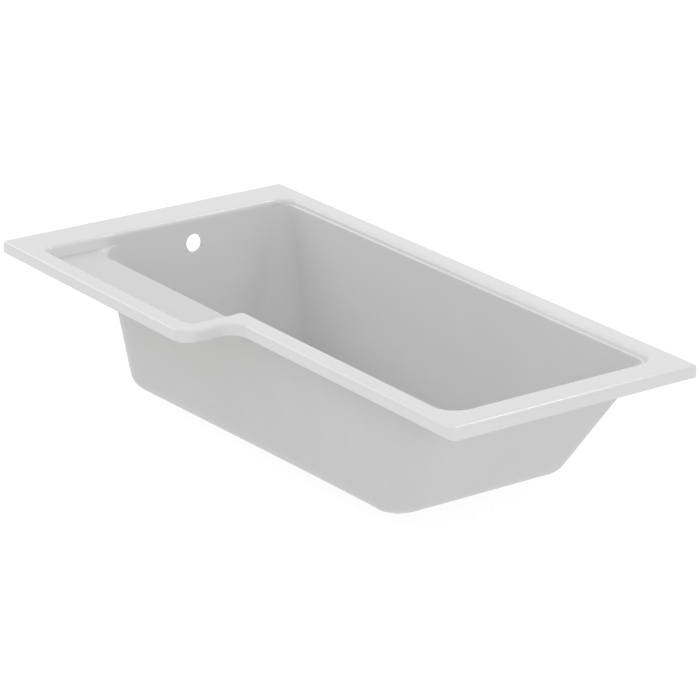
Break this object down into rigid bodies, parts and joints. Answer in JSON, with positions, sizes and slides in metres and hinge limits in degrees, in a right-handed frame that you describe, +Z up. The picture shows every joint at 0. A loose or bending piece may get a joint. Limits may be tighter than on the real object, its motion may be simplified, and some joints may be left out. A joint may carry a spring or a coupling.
{
  "type": "shower bath",
  "caption": "L-shaped acrylic bathtub with a wide shower end and sunken shelf, a sloping backrest end, a downturned lip, and overflow and waste holes.",
  "frame": {"origin": "middle of the footprint, on the surface that the bath rests on", "axes": "+X from the drain end to the narrow backrest end, +Y from the front panel side to the wall side, +Z up"},
  "size_m": [1.7, 0.85, 0.408],
  "materials": {
    "white_acrylic": "gloss thermoformed acrylic sheet",
    "painted_laminate": "sprayed glass fibre laminate under a white coat",
    "filled_resin": "cast filled polyester",
    "particle_board": "raw pressed board",
    "bare_laminate": "rolled glass fibre laminate",
    "softwood": "sawn"
  },
  "bodies": {
    "root": {"acrylic_shell": "white_acrylic", "glass_fibre_backing": "painted_laminate", "board_bedding": "filled_resin", "baseboard": "particle_board", "baseboard_overlay": "bare_laminate", "shelf_board": "particle_board", "shelf_board_overlay": "bare_laminate", "wall_side_batten": "softwood", "wall_side_batten_overlay": "bare_laminate", "wide_end_batten": "softwood", "wide_end_batten_overlay": "bare_laminate", "front_wide_batten": "softwood", "front_wide_batten_overlay": "bare_laminate", "step_batten": "softwood", "step_batten_overlay": "bare_laminate", "front_narrow_batten": "softwood", "front_narrow_batten_overlay": "bare_laminate", "narrow_end_batten": "softwood", "narrow_end_batten_overlay": "bare_laminate"}
  },
  "joints": []
}
